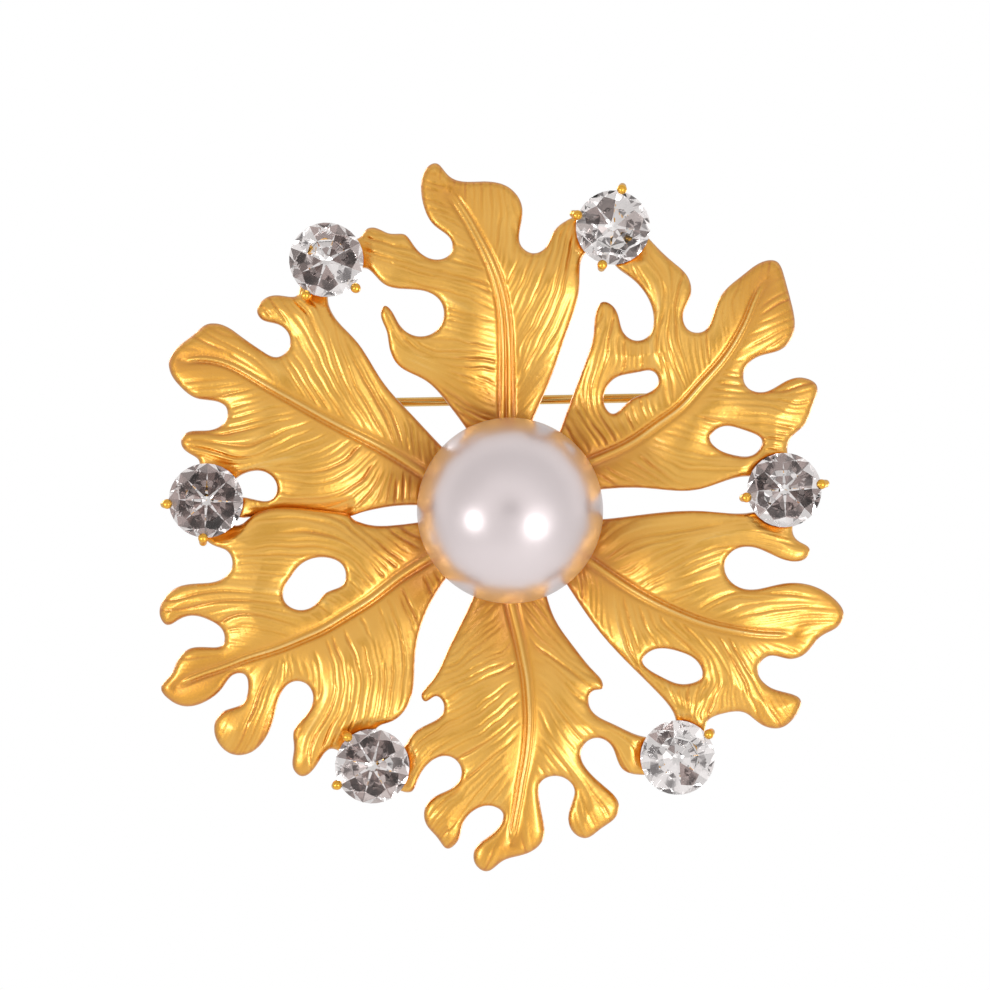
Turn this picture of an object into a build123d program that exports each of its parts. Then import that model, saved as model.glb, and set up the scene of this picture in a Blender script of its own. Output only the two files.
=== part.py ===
from build123d import *
from math import cos, radians, sin
import os

# Leaf and pearl brooch, in millimetres, upright as it is worn.
# +X is to the right seen from the front, +Z is up and the front faces -Y.
# The origin is on the pearl's axis, on the back face of the hub plate.
# "Depth" below means the distance in front of that face, along -Y.

# Hub plate, pearl and pearl cup
HUB_R = 6.0
HUB_T = 1.2
PEARL_R = 7.5
PEARL_CENTRE_DEPTH = 6.5
PEARL_BACK_DEPTH = 3.0
PEG_R = 0.6
PEG_FRONT_DEPTH = 6.0
CEMENT_GAP = 0.03
PEARL_CUP_NECK_R = 3.9
PEARL_CUP_RIM_R = 6.3
PEARL_CUP_RIM_T = 0.4

# Leaves: one domed shell, turned about the pearl's axis and cut to six outlines
LEAF_ROOT_R = 4.0
LEAF_REACH_R = 32.0
LEAF_FRONT = [(4.0, 2.35), (8.0, 2.7), (12.0, 3.5), (16.0, 4.1), (20.0, 4.2), (24.0, 3.7), (32.0, 2.0)]
LEAF_BACK = [(8.0, 1.5), (12.0, 2.35), (16.0, 2.95), (20.0, 3.05), (24.0, 2.6), (32.0, 0.9)]
BLANK_DEPTH = 8.0
FLARE_H = 3.0

# Stones, 6 mm chatons, and their four-claw cups
STONE_R = 3.0
STONE_TABLE_R = 1.6
STONE_CULET_R = 0.4
GIRDLE_T = 0.15
CROWN_H = 0.95
PAVILION_H = 2.4
CUP_SEAT_DEPTH = 2.0
CUP_FLOOR_T = 0.35
CUP_BASE_R = 1.6
CUP_DISH_R = 1.9
CUP_DISH_H = 1.0
CLAW_W = 0.8
SETTING_GAP = 0.05
TAB_BACK_DEPTH = 1.0
TAB_BACK_R = 3.4
TAB_POCKET_R = 3.3
TAB_FLARE = 38.0

# Pin, hinge and safety catch, laid out along the pin wire behind the upper leaves
PIN_R = 0.37
PIN_RISE = 1.0
PIN_DEPTH = -1.6
HINGE_X = -13.8
HINGE_Z = 8.71
CATCH_ALONG = 29.4
PIN_TIP_ALONG = 32.6
PIN_TAPER = 5.1
PIN_POINT_R = 0.06
RUNNING_GAP = 0.05
RIVET_R = 0.45
RIVET_HEAD_R = 0.8
RIVET_HEAD_T = 0.35
EYE_R = 1.0
EYE_T = 0.9
EAR_T = 0.5
EAR_R = 0.85
EAR_GAP = EYE_T + 4 * RUNNING_GAP
FOOT_L = 3.2
FOOT_BACK_DEPTH = 1.7
FOOT_FRONT_DEPTH = 3.6
HOUSING_R = 1.75
HOUSING_L = 2.2
BARREL_R = 1.2
BARREL_BORE_R = 0.5
BARREL_SLOT_W = 0.94
HOUSING_SLOT_W = 1.0
COLLAR_R = 1.5
COLLAR_T = 0.3
TAB_REACH = 3.0
TAB_W = 1.1
TAB_ANGLE = 130.0
POST_W = 1.8

FACE = Plane.XZ
SECTION = Plane.XY
FRONTWARD = (0, -1, 0)

# Stone centres (x, z) and the direction of each setting's first claw
STONES = {
    "top_left": ((-14.8, 20.2), -43.0),
    "top_right": ((8.3, 22.8), 80.0),
    "right": ((22.1, 1.65), 10.0),
    "bottom_right": ((13.5, -19.9), 35.0),
    "bottom_left": ((-11.1, -20.6), 30.0),
    "left": ((-24.5, 0.8), 0.0),
}

# Leaf outlines (x, z), from one side of the root round the lobes to the other side
OUTLINES = {
    "leaf_top": [
        (-1.6, 2.9), (-3.6, 6.7), (-4.85, 8.4), (-7.0, 10.6), (-9.0, 11.7), (-9.75, 13.2), (-10.0, 14.6),
        (-10.4, 16.1), (-10.1, 16.55), (-9.7, 16.3), (-9.1, 15.3), (-8.4, 14.45), (-7.25, 14.05),
        (-6.1, 14.4), (-5.35, 15.6), (-5.7, 17.0), (-6.7, 17.65), (-9.0, 17.9), (-10.3, 18.35),
        (-11.8, 19.6), (-12.7, 19.4), (-13.7, 19.7), (-14.1, 20.6), (-13.7, 21.6), (-12.9, 21.9),
        (-12.2, 22.0), (-11.5, 22.8), (-10.9, 22.85), (-9.65, 22.35), (-8.5, 22.3), (-7.9, 21.6),
        (-6.9, 20.55), (-5.8, 20.25), (-4.8, 20.75), (-4.7, 21.7), (-6.1, 23.0), (-6.95, 24.5),
        (-7.2, 26.0), (-6.65, 27.8), (-6.05, 28.1), (-5.0, 27.1), (-3.9, 26.6), (-2.0, 26.6),
        (0.0, 26.05), (0.95, 24.7), (0.85, 22.9), (0.85, 21.45), (1.9, 20.75), (2.8, 21.15),
        (3.5, 22.5), (4.6, 23.45), (6.0, 23.9), (7.2, 23.6), (7.6, 22.6), (7.1, 21.5), (6.1, 20.8),
        (5.6, 18.1), (4.7, 14.7), (3.15, 10.3), (1.95, 7.5), (0.9, 3.2),
    ],
    "leaf_upper_right": [
        (2.0, 3.0), (4.0, 6.4), (4.85, 8.7), (6.2, 12.3), (6.75, 14.3), (6.95, 16.1), (7.45, 16.85),
        (8.2, 16.6), (8.75, 15.7), (9.2, 14.3), (10.2, 13.7), (11.2, 14.1), (11.6, 15.5),
        (11.0, 17.4), (9.6, 18.9), (8.5, 19.8), (8.15, 20.9), (8.5, 22.2), (9.3, 22.9), (10.4, 22.7),
        (11.3, 21.9), (13.0, 20.2), (14.4, 18.8), (14.6, 17.4), (13.95, 15.7), (14.5, 14.5),
        (15.6, 14.45), (16.4, 15.9), (17.2, 17.6), (18.9, 19.1), (20.5, 20.15), (21.5, 20.2),
        (22.2, 18.9), (22.8, 16.6), (22.95, 14.4), (22.0, 13.05), (20.0, 12.4), (18.9, 11.3),
        (19.1, 10.0), (20.4, 9.55), (22.0, 10.3), (23.6, 10.75), (24.8, 10.1), (24.5, 8.6),
        (23.7, 6.8), (22.6, 5.75), (22.4, 4.7), (22.7, 3.5), (22.5, 2.5), (21.6, 2.15), (20.5, 2.5),
        (19.0, 2.75), (17.0, 2.25), (15.0, 1.65), (11.0, 1.8), (7.45, 1.7), (3.5, 0.9),
    ],
    "leaf_lower_right": [
        (3.4, -0.6), (7.5, -0.7), (11.3, -0.25), (15.7, -0.05), (19.5, -0.15), (20.7, 0.3), (21.7, 1.1),
        (22.7, 1.0), (23.1, 0.0), (22.8, -1.5), (23.2, -2.4), (24.2, -3.1), (24.0, -3.75), (22.6, -4.1),
        (21.0, -3.5), (19.5, -2.95), (18.0, -3.25), (17.3, -4.4), (17.7, -5.6), (18.8, -6.3),
        (22.0, -5.9), (24.2, -6.0), (26.3, -7.2), (27.0, -8.4), (26.5, -9.4), (25.1, -10.2),
        (23.9, -11.55), (22.5, -12.0), (20.9, -11.75), (20.0, -12.8), (20.8, -14.15), (22.3, -14.7),
        (23.5, -15.3), (23.1, -16.6), (21.8, -17.6), (20.3, -17.3), (19.0, -16.35), (17.2, -16.4),
        (15.9, -17.1), (15.7, -18.4), (15.0, -19.2), (14.0, -19.2), (13.5, -18.4), (13.4, -17.0),
        (12.0, -14.8), (10.0, -12.8), (7.3, -9.9), (4.6, -6.0), (2.2, -2.6),
    ],
    "leaf_bottom": [
        (1.4, -3.1), (2.94, -6.8), (3.6, -8.7), (5.16, -11.0), (6.9, -13.1), (7.5, -13.95),
        (7.45, -14.4), (6.8, -14.5), (6.35, -15.1), (6.6, -16.15), (8.28, -17.2), (10.4, -18.15),
        (11.7, -18.5), (12.6, -19.1), (12.9, -20.0), (12.6, -20.9), (11.7, -21.3), (10.4, -21.35),
        (9.2, -21.0), (8.6, -20.0), (8.2, -19.0), (7.1, -18.35), (6.2, -18.65), (5.7, -19.7),
        (6.3, -21.0), (7.9, -22.5), (8.8, -23.7), (8.6, -24.7), (7.3, -25.75), (6.1, -26.5),
        (5.1, -26.0), (4.7, -24.9), (5.0, -23.6), (5.2, -22.5), (4.5, -21.65), (3.3, -21.45),
        (2.5, -21.9), (2.35, -23.2), (2.7, -25.1), (2.75, -26.4), (2.0, -27.4), (0.6, -27.95),
        (-0.7, -28.4), (-1.9, -29.2), (-2.8, -28.6), (-2.75, -27.2), (-1.95, -26.5), (-0.8, -25.4),
        (-0.55, -24.5), (-1.3, -23.9), (-2.8, -24.15), (-3.8, -25.3), (-4.2, -26.7), (-5.1, -27.35),
        (-5.75, -26.6), (-6.75, -25.4), (-6.9, -24.1), (-6.0, -23.05), (-4.6, -22.35), (-3.9, -21.2),
        (-4.4, -20.1), (-5.3, -19.8), (-6.5, -20.35), (-7.5, -21.9), (-8.0, -22.75), (-8.8, -22.65),
        (-9.7, -22.1), (-10.4, -21.2), (-10.4, -20.2), (-9.5, -19.4), (-8.5, -19.0), (-8.1, -18.35),
        (-6.7, -17.27), (-5.6, -16.6), (-5.35, -15.6), (-6.0, -14.98), (-6.9, -15.42), (-7.15, -15.1),
        (-6.63, -14.1), (-5.0, -11.15), (-3.54, -8.2), (-2.87, -6.7), (-1.4, -3.1),
    ],
    "leaf_lower_left": [
        (-2.3, -2.6), (-5.25, -5.6), (-6.33, -7.33), (-7.33, -9.83), (-7.7, -12.4), (-7.83, -14.5),
        (-8.5, -16.15), (-9.67, -17.08), (-10.7, -17.5), (-11.0, -18.6), (-11.0, -19.8), (-11.8, -20.5),
        (-12.9, -20.3), (-13.6, -19.6), (-14.5, -19.25), (-15.2, -19.9), (-15.9, -20.95),
        (-16.8, -21.5), (-17.5, -20.9), (-17.45, -19.2), (-17.5, -17.9), (-16.4, -16.4),
        (-15.9, -14.9), (-16.5, -13.95), (-17.6, -13.85), (-18.4, -14.6), (-19.0, -16.5),
        (-19.75, -18.4), (-21.0, -19.6), (-22.4, -19.75), (-23.6, -18.8), (-23.85, -17.1),
        (-23.2, -16.25), (-21.6, -15.6), (-21.15, -14.4), (-21.5, -13.2), (-22.3, -13.25),
        (-23.2, -14.3), (-24.5, -15.4), (-26.1, -15.87), (-27.75, -15.17), (-28.25, -14.4),
        (-27.4, -13.2), (-27.0, -12.3), (-26.1, -11.25), (-24.2, -11.05), (-23.2, -10.85),
        (-23.15, -9.8), (-24.2, -8.9), (-25.6, -8.5), (-26.8, -8.85), (-27.75, -9.28), (-28.3, -8.6),
        (-28.1, -7.3), (-26.9, -6.2), (-25.0, -5.88), (-23.2, -5.5), (-22.4, -4.4), (-22.8, -3.3),
        (-24.0, -2.8), (-24.8, -2.0), (-24.9, -0.9), (-24.2, -0.3), (-23.2, -0.75), (-22.3, -1.2),
        (-20.3, -0.55), (-17.5, -0.15), (-14.5, -0.45), (-13.1, -0.66), (-12.4, -0.85),
        (-11.5, -1.13), (-9.5, -1.2), (-7.5, -0.97), (-3.4, -0.6),
    ],
    "leaf_upper_left": [
        (-3.4, 0.2), (-7.5, 0.42), (-9.2, 0.37), (-11.0, 0.08), (-12.3, -0.27), (-13.1, -0.52),
        (-14.5, -0.33), (-17.5, -0.02), (-20.3, -0.4), (-21.5, -0.6), (-22.7, -0.2), (-23.2, 0.4),
        (-22.6, 0.95), (-21.3, 1.05), (-20.2, 0.8), (-19.3, 0.85), (-18.8, 1.6), (-19.0, 2.5),
        (-19.9, 3.15), (-21.0, 3.13), (-22.1, 2.6), (-23.2, 1.75), (-24.4, 1.7), (-25.2, 2.7),
        (-25.1, 4.0), (-26.2, 4.8), (-26.6, 5.6), (-26.2, 6.25), (-25.2, 6.45), (-23.8, 6.6),
        (-22.9, 7.4), (-22.9, 8.3), (-23.9, 8.85), (-25.4, 9.08), (-26.6, 9.95), (-27.4, 11.0),
        (-27.6, 12.0), (-26.8, 13.3), (-25.5, 14.3), (-24.6, 15.03), (-23.2, 15.0), (-21.7, 14.05),
        (-20.0, 12.87), (-18.8, 12.38), (-17.85, 13.1), (-17.9, 14.3), (-18.8, 15.05), (-20.1, 15.45),
        (-20.45, 16.1), (-19.7, 17.2), (-18.5, 17.37), (-17.2, 17.35), (-16.9, 18.6), (-16.2, 19.6),
        (-15.3, 19.8), (-14.7, 19.0), (-14.7, 17.0), (-14.0, 15.4), (-12.5, 13.8), (-10.2, 10.3),
        (-8.17, 8.0), (-5.42, 5.08), (-2.6, 2.4),
    ],
}

# Pierced holes (x, z), each a closed curve
HOLES = {
    "leaf_upper_right": [
        [
            (7.75, 9.8), (8.6, 10.75), (10.3, 11.15), (11.6, 11.2), (12.0, 10.5), (11.35, 9.6),
            (10.1, 9.15), (9.05, 8.3), (8.3, 7.8), (7.6, 8.6),
        ],
        [(16.2, 6.1), (17.3, 6.8), (19.0, 6.45), (20.35, 5.6), (19.8, 4.6), (18.0, 4.5), (16.6, 5.1)],
    ],
    "leaf_lower_right": [
        [
            (10.8, -11.8), (11.7, -11.2), (13.7, -11.4), (15.2, -12.3), (15.5, -13.4), (14.3, -14.0),
            (12.2, -13.4),
        ],
    ],
    "leaf_lower_left": [
        [
            (-17.45, -5.0), (-16.4, -4.05), (-14.8, -3.8), (-13.4, -4.6), (-13.5, -6.0), (-14.8, -6.6),
            (-15.8, -7.65), (-17.2, -8.0), (-18.25, -7.2), (-18.1, -5.95),
        ],
    ],
}

# The settings that each leaf's tabs carry
TABS = {
    "leaf_top": ["top_left", "top_right"],
    "leaf_upper_right": ["top_right", "right"],
    "leaf_lower_right": ["right", "bottom_right"],
    "leaf_bottom": ["bottom_right", "bottom_left"],
    "leaf_lower_left": ["bottom_left", "left"],
    "leaf_upper_left": ["left", "top_left"],
}


def save(part, label):
    part.label = label
    export_step(part, f"parts/{label}.step")


def along_pin(along, side=0.0, depth=PIN_DEPTH):
    """World point: a distance along the pin from its hinge, a distance to the pin's upper side, a depth."""
    rise = radians(PIN_RISE)
    x = HINGE_X + along * cos(rise) - side * sin(rise)
    z = HINGE_Z + along * sin(rise) + side * cos(rise)
    return (x, -depth, z)


PIN_DIR = (cos(radians(PIN_RISE)), 0, sin(radians(PIN_RISE)))
PIN_UP = (-sin(radians(PIN_RISE)), 0, cos(radians(PIN_RISE)))


def flat_to_pin(along, side=0.0):
    """Plane square to the hinge axis: local x runs along the pin, local y runs to the rear."""
    return Plane(origin=along_pin(along, side), x_dir=PIN_DIR, z_dir=PIN_UP)


def across_pin(along):
    """Plane square to the pin: local x runs to the rear, local y up, local z along the pin."""
    return Plane(origin=along_pin(along), x_dir=(0, 1, 0), z_dir=PIN_DIR)


def make_leaf(name):
    """A leaf: its outline cut out of the domed shell, with tabs that dip under the settings."""
    outline = OUTLINES[name]
    centres = [STONES[stone][0] for stone in TABS[name]]
    front_depth = [(r, -depth) for r, depth in LEAF_FRONT]
    back_depth = [(r, -depth) for r, depth in LEAF_BACK]

    # Everything behind the shell, less a flared boss at each setting
    with BuildPart() as hollow:
        with BuildSketch(SECTION):
            with BuildLine():
                Line((0, 1), (0, -HUB_T))
                Line((0, -HUB_T), (HUB_R, -HUB_T))
                Spline((HUB_R, -HUB_T), *back_depth)
                Line(back_depth[-1], (LEAF_REACH_R, 1))
                Line((LEAF_REACH_R, 1), (0, 1))
            make_face()
        revolve(axis=Axis.Y)
        with BuildSketch(FACE.offset(TAB_BACK_DEPTH)):
            with Locations(*centres):
                Circle(TAB_BACK_R)
        extrude(amount=FLARE_H, taper=-TAB_FLARE, mode=Mode.SUBTRACT)

    with BuildPart() as leaf:
        with BuildSketch(FACE.offset(TAB_BACK_DEPTH)):
            with BuildLine():
                Spline(*outline)
                Line(outline[-1], outline[0])
            make_face()
            for hole in HOLES.get(name, []):
                with BuildLine():
                    Spline(*hole, periodic=True)
                make_face(mode=Mode.SUBTRACT)
        extrude(amount=BLANK_DEPTH)
        with BuildSketch(SECTION):
            with BuildLine():
                Line((LEAF_ROOT_R, 1), front_depth[0])
                Spline(*front_depth)
                Line(front_depth[-1], (LEAF_REACH_R, 1))
                Line((LEAF_REACH_R, 1), (LEAF_ROOT_R, 1))
            make_face()
        revolve(axis=Axis.Y, mode=Mode.INTERSECT)
        add(hollow.part, mode=Mode.SUBTRACT)
        with BuildSketch(FACE.offset(CUP_SEAT_DEPTH)):
            with Locations(*centres):
                Circle(TAB_POCKET_R)
        extrude(amount=FLARE_H, taper=-TAB_FLARE, mode=Mode.SUBTRACT)
    return leaf


def make_cup(name):
    """A four-claw setting: a small dish that the stone's point stands in, with four claws."""
    (x, z), first_claw = STONES[name]
    origin = (x, -CUP_SEAT_DEPTH, z)
    slope = (STONE_R - STONE_CULET_R) / PAVILION_H
    dish_inner_r = STONE_CULET_R + SETTING_GAP + (CUP_DISH_H - CUP_FLOOR_T) * slope
    girdle_back = CUP_FLOOR_T + PAVILION_H
    girdle_front = girdle_back + GIRDLE_T
    inner_r = STONE_R + SETTING_GAP
    with BuildPart() as cup:
        with BuildSketch(Plane(origin=origin, x_dir=(1, 0, 0), z_dir=(0, 0, -1))):
            Polygon(
                (0, 0), (CUP_BASE_R, 0), (CUP_DISH_R, CUP_DISH_H), (dish_inner_r, CUP_DISH_H),
                (STONE_CULET_R + SETTING_GAP, CUP_FLOOR_T), (0, CUP_FLOOR_T), align=None,
            )
        revolve(axis=Axis(origin, FRONTWARD))
        for turn in range(4):
            angle = radians(first_claw + 90 * turn)
            claw_plane = Plane(
                origin=origin, x_dir=(cos(angle), 0, sin(angle)), z_dir=(sin(angle), 0, -cos(angle))
            )
            with BuildSketch(claw_plane):
                Polygon(
                    (1.3, 0), (CUP_BASE_R, 0), (2.4, 0.9), (inner_r + 0.5, girdle_back - 0.15),
                    (inner_r + 0.5, girdle_front + 0.1), (inner_r + 0.25, girdle_front + 0.5),
                    (inner_r - 0.25, girdle_front + 0.55), (inner_r - 0.35, girdle_front + 0.35),
                    (inner_r, girdle_front + 0.1), (inner_r, girdle_back), (dish_inner_r, CUP_DISH_H),
                    (1.3, 0.6), align=None,
                )
            extrude(amount=CLAW_W / 2, both=True)
        # Clear the seat again where the claws run into the dish
        with BuildSketch(Plane(origin=origin, x_dir=(1, 0, 0), z_dir=(0, 0, -1))):
            Polygon(
                (0, CUP_FLOOR_T), (STONE_CULET_R + SETTING_GAP, CUP_FLOOR_T), (inner_r, girdle_back),
                (inner_r, girdle_front + 0.02), (1.6, girdle_front + 1.2), (0, girdle_front + 1.2),
                align=None,
            )
        revolve(axis=Axis(origin, FRONTWARD), mode=Mode.SUBTRACT)
    return cup


def make_stone(name):
    """A round chaton: flat table, sloping crown, thin girdle, deep pavilion with a small flat point."""
    x, z = STONES[name][0]
    origin = (x, -(CUP_SEAT_DEPTH + CUP_FLOOR_T), z)
    with BuildPart() as stone:
        with BuildSketch(Plane(origin=origin, x_dir=(1, 0, 0), z_dir=(0, 0, -1))):
            Polygon(
                (0, 0), (STONE_CULET_R, 0), (STONE_R, PAVILION_H), (STONE_R, PAVILION_H + GIRDLE_T),
                (STONE_TABLE_R, PAVILION_H + GIRDLE_T + CROWN_H), (0, PAVILION_H + GIRDLE_T + CROWN_H),
                align=None,
            )
        revolve(axis=Axis(origin, FRONTWARD))
    return stone


os.makedirs("parts", exist_ok=True)

# Leaves
leaves = {}
for leaf_name in OUTLINES:
    leaves[leaf_name] = make_leaf(leaf_name)
    save(leaves[leaf_name].part, leaf_name)

# Hub plate, which the six leaves and the pearl cup are soldered to
with BuildPart() as hub_plate:
    with BuildSketch(FACE):
        Circle(HUB_R)
    extrude(amount=HUB_T)
save(hub_plate.part, "hub_plate")

# Pearl cup: neck, rim and the peg that goes up the pearl's drilled hole
with BuildPart() as pearl_cup:
    with BuildSketch(FACE.offset(HUB_T)):
        Circle(PEARL_CUP_NECK_R)
    extrude(amount=PEARL_BACK_DEPTH - HUB_T)
    with BuildSketch(FACE.offset(PEARL_BACK_DEPTH)):
        Circle(PEARL_CUP_RIM_R)
    extrude(amount=-PEARL_CUP_RIM_T)
    with BuildSketch(FACE.offset(PEARL_BACK_DEPTH)):
        Circle(PEG_R)
    extrude(amount=PEG_FRONT_DEPTH - PEARL_BACK_DEPTH)
save(pearl_cup.part, "pearl_cup")

# Button pearl: a ball with a flat back and a half-drilled hole
pearl_back_r = (PEARL_R**2 - (PEARL_CENTRE_DEPTH - PEARL_BACK_DEPTH) ** 2) ** 0.5
with BuildPart() as pearl:
    with BuildSketch(SECTION):
        with BuildLine():
            Line((0, -PEARL_BACK_DEPTH), (pearl_back_r, -PEARL_BACK_DEPTH))
            ThreePointArc(
                (pearl_back_r, -PEARL_BACK_DEPTH), (PEARL_R, -PEARL_CENTRE_DEPTH),
                (0, -PEARL_CENTRE_DEPTH - PEARL_R),
            )
            Line((0, -PEARL_CENTRE_DEPTH - PEARL_R), (0, -PEARL_BACK_DEPTH))
        make_face()
    revolve(axis=Axis.Y)
    with BuildSketch(FACE.offset(PEARL_BACK_DEPTH)):
        Circle(PEG_R + CEMENT_GAP)
    extrude(amount=PEG_FRONT_DEPTH + CEMENT_GAP - PEARL_BACK_DEPTH, mode=Mode.SUBTRACT)
save(pearl.part, "pearl")

# Settings and stones
for stone_name in STONES:
    save(make_cup(stone_name).part, f"cup_{stone_name}")
    save(make_stone(stone_name).part, f"stone_{stone_name}")

# Hinge bracket: a foot on the back of the upper left leaf and two ears
foot_width = EAR_GAP + 2 * EAR_T
ear_rise = FOOT_BACK_DEPTH - PIN_DEPTH
with BuildPart() as hinge_bracket:
    with BuildSketch(FACE.offset(FOOT_BACK_DEPTH)):
        with Locations((HINGE_X, HINGE_Z)):
            Rectangle(FOOT_L, foot_width, rotation=PIN_RISE)
    extrude(amount=FOOT_FRONT_DEPTH - FOOT_BACK_DEPTH)
    add(leaves["leaf_upper_left"].part, mode=Mode.SUBTRACT)
    for ear_side in (-foot_width / 2, EAR_GAP / 2):
        with BuildSketch(flat_to_pin(0, ear_side)):
            Circle(EAR_R)
            with Locations((0, -ear_rise / 2)):
                Rectangle(2 * EAR_R, ear_rise)
        extrude(amount=EAR_T)
    with BuildSketch(flat_to_pin(0, -foot_width / 2)):
        Circle(RIVET_R)
    extrude(amount=foot_width, mode=Mode.SUBTRACT)
save(hinge_bracket.part, "hinge_bracket")

# Hinge rivet: a plain shank with a head outside each ear
with BuildPart() as hinge_rivet:
    with BuildSketch(flat_to_pin(0, -foot_width / 2)):
        Circle(RIVET_R)
    extrude(amount=foot_width)
    for head_side in (-foot_width / 2 - RIVET_HEAD_T, foot_width / 2):
        with BuildSketch(flat_to_pin(0, head_side)):
            Circle(RIVET_HEAD_R)
        extrude(amount=RIVET_HEAD_T)
save(hinge_rivet.part, "hinge_rivet")

# Pin stem: straight wire with a flattened eye at the hinge and a long ground point
with BuildPart() as pin_stem:
    with BuildSketch(flat_to_pin(0, -EYE_T / 2)):
        Circle(EYE_R)
    extrude(amount=EYE_T)
    with BuildSketch(across_pin(0)):
        Circle(PIN_R)
    extrude(amount=PIN_TIP_ALONG - PIN_TAPER)
    with BuildSketch(across_pin(PIN_TIP_ALONG - PIN_TAPER)):
        Circle(PIN_R)
    with BuildSketch(across_pin(PIN_TIP_ALONG)):
        Circle(PIN_POINT_R)
    loft()
    with BuildSketch(flat_to_pin(0, -EYE_T / 2)):
        Circle(RIVET_R + RUNNING_GAP)
    extrude(amount=EYE_T, mode=Mode.SUBTRACT)
save(pin_stem.part, "pin_stem")

# Catch housing: a post on the back of the upper right leaf and a ring open to the rear
post_rise = FOOT_FRONT_DEPTH - PIN_DEPTH
with BuildPart() as catch_housing:
    with BuildSketch(across_pin(CATCH_ALONG - HOUSING_L / 2)):
        with Locations((-post_rise / 2, 0)):
            Rectangle(post_rise, POST_W)
    extrude(amount=HOUSING_L)
    add(leaves["leaf_upper_right"].part, mode=Mode.SUBTRACT)
    with BuildSketch(across_pin(CATCH_ALONG - HOUSING_L / 2)):
        Circle(HOUSING_R)
    extrude(amount=HOUSING_L)
    with BuildSketch(across_pin(CATCH_ALONG - HOUSING_L / 2)):
        Circle(BARREL_R + RUNNING_GAP)
        with Locations((HOUSING_R, 0)):
            Rectangle(2 * HOUSING_R, HOUSING_SLOT_W)
    extrude(amount=HOUSING_L, mode=Mode.SUBTRACT)
save(catch_housing.part, "catch_housing")

# Catch barrel: a slotted sleeve with a collar at each end and a thumb tab on one collar
barrel_l = HOUSING_L + 2 * (RUNNING_GAP + COLLAR_T)
collar_start = CATCH_ALONG + HOUSING_L / 2 + RUNNING_GAP
with BuildPart() as catch_barrel:
    with BuildSketch(across_pin(CATCH_ALONG - barrel_l / 2)):
        Circle(BARREL_R)
    extrude(amount=barrel_l)
    for start in (CATCH_ALONG - barrel_l / 2, collar_start):
        with BuildSketch(across_pin(start)):
            Circle(COLLAR_R)
        extrude(amount=COLLAR_T)
    with BuildSketch(across_pin(collar_start)):
        with PolarLocations(TAB_REACH / 2, 1, start_angle=TAB_ANGLE):
            SlotOverall(TAB_REACH, TAB_W)
    extrude(amount=COLLAR_T)
    with BuildSketch(across_pin(CATCH_ALONG - barrel_l / 2)):
        Circle(BARREL_BORE_R)
        with Locations((COLLAR_R, 0)):
            Rectangle(2 * COLLAR_R, BARREL_SLOT_W)
    extrude(amount=barrel_l, mode=Mode.SUBTRACT)
save(catch_barrel.part, "catch_barrel")
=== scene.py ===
import math
import bpy
import bmesh
import numpy as np
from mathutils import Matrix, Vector
from mathutils.kdtree import KDTree


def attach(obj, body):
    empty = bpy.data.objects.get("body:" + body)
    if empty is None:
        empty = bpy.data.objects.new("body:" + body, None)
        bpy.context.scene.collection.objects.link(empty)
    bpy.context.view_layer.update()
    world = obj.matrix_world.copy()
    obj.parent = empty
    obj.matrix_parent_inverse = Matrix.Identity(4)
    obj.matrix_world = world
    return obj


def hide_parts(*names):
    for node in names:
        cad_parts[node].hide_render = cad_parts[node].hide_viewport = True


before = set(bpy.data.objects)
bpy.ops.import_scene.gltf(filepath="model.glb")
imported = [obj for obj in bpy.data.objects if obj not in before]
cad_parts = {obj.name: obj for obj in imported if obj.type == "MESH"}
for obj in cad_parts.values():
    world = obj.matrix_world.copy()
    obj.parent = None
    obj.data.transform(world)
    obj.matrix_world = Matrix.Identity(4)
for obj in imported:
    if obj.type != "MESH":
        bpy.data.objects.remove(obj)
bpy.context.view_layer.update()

# Millimetres are used for every shape below. Depth is the distance in front of the hub plate's back face.
MM = 0.001

# ---------------------------------------------------------------- driving dimensions
CAMERA_DISTANCE = 700.0
CAMERA_AIM = (-1.21, 1.25)
CAMERA_LENS = 313.8

LEAF_VOXEL = 0.1
LEAF_FRONT = [(4.0, 2.35), (8.0, 2.7), (12.0, 3.5), (16.0, 4.1), (20.0, 4.2), (24.0, 3.7), (32.0, 2.0)]
LEAF_BACK = [
    (0.0, 1.2), (6.0, 1.2), (8.0, 1.5), (12.0, 2.35), (16.0, 2.95), (20.0, 3.05), (24.0, 2.6), (32.0, 0.9),
]
# The shell dips to a pocket in front and a boss behind under each setting, with sides of this slope
POCKET_FLOOR = 2.0
POCKET_R = 3.3
BOSS_BACK = 1.0
BOSS_R = 3.4
TAB_SLOPE = math.tan(math.radians(38.0))
EDGE_ROLL_W = 0.5
EDGE_ROLL_H = 0.32
BULGE_H = 0.42
SWELL_H = 0.2
RIDGE_H = 0.26
GROOVE_H = 0.2
VEIN_H = 0.25
LEAST_THICKNESS = 0.35
# Each layer of veins: its pitch, the grooves' half width, how deep they are, and the share left out
VEIN_LAYERS = [(0.74, 0.13, 1.0, 0.05), (0.4, 0.115, 0.62, 0.2)]
# Between these distances from the pearl's axis the veins grow shallower
TIP_CALM = (24.5, 28.0)
# How far the midrib runs on towards the pearl's axis from its first point
ROOT_RUN = 2.0
# The seat that the skin dips to under each setting
SEAT_R = 2.2
SEAT_SLOPE = 2.8
# The edges of the overlap between the two left leaves: in x, as (low, high) pairs
SEAM_OUTER = (-22.0, -20.5)
SEAM_INNER = (-13.2, -12.4)
LAP = 0.4
DIP = 0.7

PEARL_R = 7.5
PEARL_DEPTH = 6.5
PEARL_BACK = 3.0
PEARL_HOLE_R = 0.63
PEARL_HOLE_END = 6.03

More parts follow.
